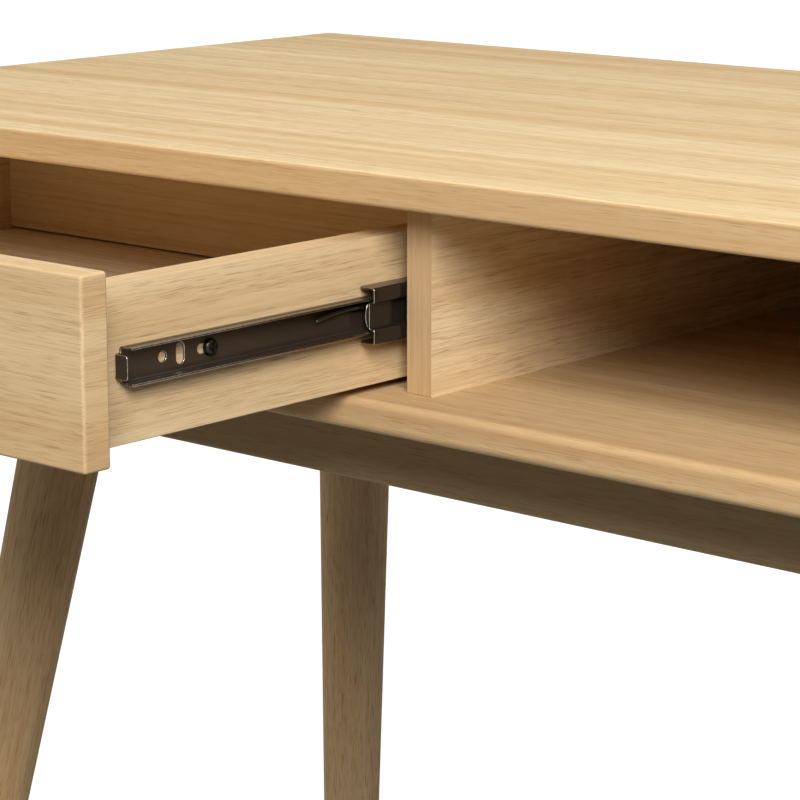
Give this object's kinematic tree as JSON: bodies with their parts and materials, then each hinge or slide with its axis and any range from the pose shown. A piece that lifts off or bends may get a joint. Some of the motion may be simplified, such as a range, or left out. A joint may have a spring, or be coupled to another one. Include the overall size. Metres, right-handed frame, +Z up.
{
  "type": "computer desk",
  "caption": "Desk with an oak-veneered top over a shallow case with a pull-out drawer on ball slides and an open compartment, on an apron frame with splayed turned legs.",
  "frame": {"origin": "on the floor, under the middle of the object's box with the drawer drawn out as in the picture", "axes": "+X along the desk's width to the right, +Y from front to back, +Z up"},
  "size_m": [1, 0.707, 0.75],
  "materials": {
    "oak_veneer": "light oak veneer, satin lacquer, grain along the board",
    "drawer_bottom_board": "oak-veneered thin board, satin lacquer",
    "oak_rail": "oak veneer, satin lacquer, a little darker",
    "oak_leg": "turned solid oak, satin lacquer",
    "beech_dowel": "fluted beech, raw",
    "zinc_fitting": "bright zinc plate",
    "black_plate": "black powder coat",
    "glide_plastic": "moulded dark brown plastic",
    "black_rail_steel": "rolled steel, black electrocoat, satin",
    "black_screw": "black zinc plate, satin",
    "cage_plastic": "moulded black plastic",
    "bearing_steel": "polished bearing steel",
    "lever_plastic": "moulded black plastic"
  },
  "bodies": {
    "desk": {"top_panel": "oak_veneer", "shelf_panel": "oak_veneer", "left_side_panel": "oak_veneer", "right_side_panel": "oak_veneer", "divider_panel": "oak_veneer", "back_panel": "oak_veneer", "front_apron": "oak_rail", "back_apron": "oak_rail", "left_apron": "oak_rail", "right_apron": "oak_rail", "front_left_leg": "oak_leg", "front_right_leg": "oak_leg", "back_left_leg": "oak_leg", "back_right_leg": "oak_leg", "leg_plates": "black_plate", "hanger_bolts": "zinc_fitting", "plate_screws": "zinc_fitting", "leg_glides": "glide_plastic", "panel_dowels": "beech_dowel", "cam_locks": "zinc_fitting", "cam_bolts": "zinc_fitting", "shelf_screws": "zinc_fitting", "back_dowels": "beech_dowel", "apron_dowels": "beech_dowel", "apron_corner_dowels": "beech_dowel", "left_cabinet_member": "black_rail_steel", "right_cabinet_member": "black_rail_steel", "cabinet_slide_screws": "black_screw"},
    "middle_members": {"left_middle_member": "black_rail_steel", "right_middle_member": "black_rail_steel"},
    "drawer": {"drawer_front": "oak_veneer", "left_drawer_side": "oak_veneer", "right_drawer_side": "oak_veneer", "drawer_back": "oak_veneer", "drawer_bottom": "drawer_bottom_board", "drawer_front_dowels": "beech_dowel", "drawer_back_dowels": "beech_dowel", "left_drawer_member": "black_rail_steel", "right_drawer_member": "black_rail_steel", "drawer_slide_screws": "black_screw", "lever_rivets": "black_screw"},
    "outer_cages": {"outer_ball_cages": "cage_plastic", "outer_balls": "bearing_steel"},
    "inner_cages": {"inner_ball_cages": "cage_plastic", "inner_balls": "bearing_steel"},
    "left_lever": {"left_release_lever": "lever_plastic"},
    "right_lever": {"right_release_lever": "lever_plastic"}
  },
  "joints": [
    {"name": "middle_slide", "type": "slide", "parent": "desk", "child": "middle_members", "axis": [0, -1, 0], "range_m": [-0.052, 0.096]},
    {"name": "drawer_slide", "type": "slide", "parent": "middle_members", "child": "drawer", "axis": [0, -1, 0], "range_m": [-0.153, 0.005]},
    {"name": "outer_cage_slide", "type": "slide", "parent": "desk", "child": "outer_cages", "axis": [0, -1, 0], "range_m": [-0.026, 0.048]},
    {"name": "inner_cage_slide", "type": "slide", "parent": "middle_members", "child": "inner_cages", "axis": [0, -1, 0], "range_m": [-0.0765, 0.0025]},
    {"name": "left_lever_hinge", "type": "hinge", "parent": "drawer", "child": "left_lever", "pos_m": [-0.4751, -0.1395, 0.6815], "axis": [1, 0, 0], "range_deg": [-8, 3.5], "stiffness_Nm_per_rad": 0.05},
    {"name": "right_lever_hinge", "type": "hinge", "parent": "drawer", "child": "right_lever", "pos_m": [-0.0174, -0.1395, 0.6815], "axis": [1, 0, 0], "range_deg": [-3.5, 8], "stiffness_Nm_per_rad": 0.05}
  ],
  "couplings": [
    {"joint": "outer_cage_slide", "follows": "middle_slide", "ratio": 0.5},
    {"joint": "inner_cage_slide", "follows": "drawer_slide", "ratio": 0.5}
  ]
}
